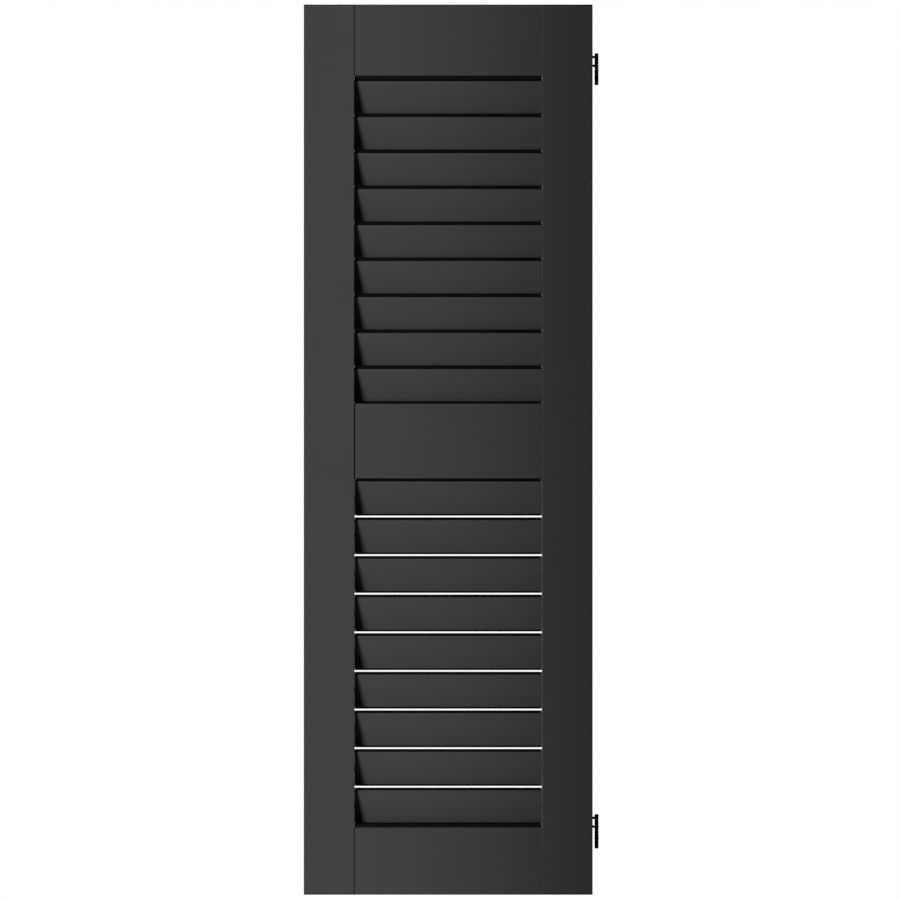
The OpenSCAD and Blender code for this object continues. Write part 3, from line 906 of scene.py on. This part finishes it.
# %% [markdown]
# ## The hinges
# Each hinge is a pair of steel knuckles on one spindle. The lower knuckle, the pintle, grows out of
# a stem, with a neck that bears on the wall's face and a thread inside the wall. The upper knuckle,
# the eye, is pinned to the leaf by two dowels. A nylon washer turns between them. A bevel could
# round them all alike, but turned parts have small chamfers, which catch the light on the black, so
# each outline is drawn with its own.

# %% Sizes of the hinges
barrel = extent("hinge_washers").x / 2      # radius of the knuckles
spindle = 1.7 * MM
bore = spindle + 0.08 * MM
chamfer = 0.35 * MM
spindle_tall = 22 * MM
stem_drop = 12 * MM                         # from a knuckle's top to its stem's axis
stem_half = 3 * MM
neck_half = 3.5 * MM
ring_low, ring_tall, ring_deep = 3.5 * MM, 1.2 * MM, 0.4 * MM
axis_y = middle("hinge_washers").y
stem_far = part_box("top_hinge_pintle")[1].y
print("barrel", round(2 * barrel / MM, 2), "mm; stem reaches", round(stem_far, 4))

# %% The knuckle and the stem of a pintle
def knuckle_mesh(low, high):
    """A knuckle from low to high with its turned ring, and its spindle on top."""
    ring, neck = low + ring_low, barrel - ring_deep
    slope, flare, point = 0.1 * MM, 0.3 * MM, 0.5 * MM
    top = high + spindle_tall
    outline = [(0, low), (barrel - chamfer, low), (barrel, low + chamfer), (barrel, ring),
               (neck, ring + slope), (neck, ring + ring_tall - slope), (barrel, ring + ring_tall),
               (barrel, high - chamfer), (barrel - chamfer, high), (spindle + flare, high),
               (spindle, high + flare), (spindle, top - point), (spindle - point, top), (0, top)]
    return turned("knuckle", outline, 48)


def stem_mesh():
    """The stem along Z from the hinge axis: a neck up to the wall, then thread inside it."""
    wall = -axis_y
    far = stem_far - axis_y
    core, depth, pitch = stem_half - 0.45 * MM, 0.43 * MM, 1 * MM
    run_out = 2 * MM                        # plain metal before and after the thread
    inside = wall - MM                      # where shank and root start, inside the neck
    shank = turned("shank", [(0, inside), (core, inside), (core, far - run_out),
                             (core * 0.5, far), (0, far)], 32)
    start = wall + run_out
    wound = moved(threaded("stem_thread", moved(shank, at(0, 0, -start)), far - start - run_out,
                           core, pitch, depth, "hinge_steel"), at(0, 0, start))
    soft, root_end = 0.3 * MM, wall + 3 * MM
    neck = turned("neck", [(0, 0), (neck_half, 0), (neck_half, wall - soft),
                           (neck_half - soft / 2, wall), (0, wall)], 40)
    root = turned("root", [(0, inside), (stem_half - soft, inside),
                           (stem_half - soft, root_end), (0, root_end)], 40)
    return joined("stem", [wound, neck, root])


into_wall = Matrix.Rotation(math.radians(-90), 4, "X")
stem = moved(stem_mesh(), into_wall)
print("stem has", len(stem.polygons), "faces")

# %% Both pintles
for place in ("top", "bottom"):
    node = f"{place}_hinge_pintle"
    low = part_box(node)[0].z
    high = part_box(node)[1].z - spindle_tall
    pieces = [moved(knuckle_mesh(low, high), at(0, axis_y, 0)),
              moved(stem.copy(), at(0, axis_y, high - stem_drop))]
    pintle = one_piece(f"{place}_pintle", pieces, "hinge_steel", node)
    hand_over(pintle, "hinge_fixings", "hinge_steel", node, soft_below=28)

# %% The knuckle and the dowels of an eye
dowel_half, dowel_gap, dowel_long = 2 * MM, 14 * MM, 30 * MM
eye_gap = 0.05 * MM                         # the eye stands this far off its washer


def eye_mesh(low, high):
    """A knuckle bored from below for the spindle, closed and domed at its top."""
    deep, lead_in = low - eye_gap + spindle_tall, 0.2 * MM
    dome = [(barrel - 2 * chamfer + 2 * chamfer * math.cos(turn),
             high - chamfer + chamfer * math.sin(turn))
            for turn in (math.radians(18 * i) for i in range(6))]
    outline = [(0, deep), (bore, deep), (bore, low + lead_in), (bore + lead_in, low),
               (barrel - chamfer, low), (barrel, low + chamfer)] + dome + [(0, high)]
    return turned("eye", outline, 48)


def dowel_mesh(length):
    """A dowel along Z with a chamfered end and three retaining grooves near it."""
    outline, cut, end = [(0, 0), (dowel_half, 0)], 0.25 * MM, 0.6 * MM
    for below_end in (9, 6, 3):
        height = length - below_end * MM
        outline += [(dowel_half, height), (dowel_half - cut, height + 0.1 * MM),
                    (dowel_half - cut, height + 0.9 * MM), (dowel_half, height + MM)]
    outline += [(dowel_half, length - end), (dowel_half - end, length), (0, length)]
    return turned("dowel", outline, 32)


into_leaf = Matrix.Rotation(math.radians(-90), 4, "Y")
dowel_reach = -(leaf_high.x - stile_wall - dowel_long)
print("dowels reach", round(dowel_reach / MM, 1), "mm from the hinge axis")

# %% Both eyes
for place in ("top", "bottom"):
    node = f"{place}_hinge_eye"
    low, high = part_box(node)[0].z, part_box(node)[1].z
    dowels = row_of("dowel_row", moved(dowel_mesh(dowel_reach), into_leaf), "hinge_steel", 2,
                    (0, axis_y, (low - eye_gap + high - dowel_gap) / 2), (0, 0, dowel_gap),
                    grown_mesh)
    eye = one_piece(f"{place}_eye", [moved(eye_mesh(low, high), at(0, axis_y, 0)), dowels],
                    "hinge_steel", node)
    hand_over(eye, "leaf", "hinge_steel", node, soft_below=28)

# %% [markdown]
# ## The washers
# A ring of black nylon carries each eye on its pintle and keeps the steel from squeaking. A torus
# would be too round, so the ring's own outline, a rectangle with broken corners, is turned.

# %% Both washers
washer_low, washer_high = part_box("hinge_washers")
washer_tall = 1 * MM
soft = 0.2 * MM
washer = turned("washer", [(bore, 0), (barrel - soft, 0), (barrel, soft),
                           (barrel, washer_tall - soft), (barrel - soft, washer_tall),
                           (bore, washer_tall)], 48, ring=True)
washers = row_of("washers", washer, "black_nylon", 2, (0, axis_y, washer_low.z),
                 (0, 0, washer_high.z - washer_tall - washer_low.z))
hand_over(washers, "hinge_fixings", "black_nylon", "hinge_washers")
